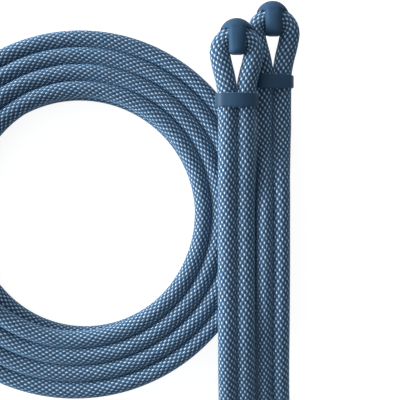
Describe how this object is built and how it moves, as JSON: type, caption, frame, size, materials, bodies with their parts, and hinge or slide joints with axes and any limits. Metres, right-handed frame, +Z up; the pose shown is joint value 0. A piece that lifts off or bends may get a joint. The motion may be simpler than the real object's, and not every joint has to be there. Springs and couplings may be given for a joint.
{
  "type": "climbing rope",
  "caption": "Coiled kernmantle rope whose strands cross back over it as a hank, held at its upper bights by saddle caps on bosses and run through sliding keeper bands.",
  "frame": {"origin": "centre of the whole laid-out object's bounding box, at the base it lies on", "axes": "+Y along the hank towards its two caps, +Z up from the base, +X towards the free end's side"},
  "size_m": [0.2419, 0.3174, 0.0366],
  "materials": {
    "rope_sheath": "woven polyamide sheath, navy and steel blue with pale flecks",
    "rope_core": "twisted white core strands",
    "end_sleeve": "heat-shrunk, satin",
    "cap_plastic": "moulded, satin",
    "boss_plastic": "moulded, matt",
    "band_plastic": "moulded, satin",
    "screw_steel": "zinc plated"
  },
  "bodies": {
    "rope": {"coil": "rope_sheath", "lead_run": "rope_sheath", "front_hank": "rope_sheath", "lower_bight": "rope_sheath", "rear_hank": "rope_sheath", "kern_core": "rope_core", "end_a_sleeve": "end_sleeve", "end_a_strands": "rope_core", "end_b_sleeve": "end_sleeve", "end_b_strands": "rope_core", "front_cap_shell": "cap_plastic", "front_cap_back": "cap_plastic", "front_post": "cap_plastic", "front_cap_screw": "screw_steel", "front_boss": "boss_plastic", "rear_cap_shell": "cap_plastic", "rear_cap_back": "cap_plastic", "rear_post": "cap_plastic", "rear_cap_screw": "screw_steel", "rear_boss": "boss_plastic"},
    "front_keeper": {"front_band": "band_plastic"},
    "rear_keeper": {"rear_band": "band_plastic"}
  },
  "joints": [
    {"name": "front_band_slide", "type": "slide", "parent": "rope", "child": "front_keeper", "axis": [0, -1, 0], "range_m": [0, 0.03]},
    {"name": "rear_band_slide", "type": "slide", "parent": "rope", "child": "rear_keeper", "axis": [0, -1, 0], "range_m": [0, 0.028]}
  ]
}
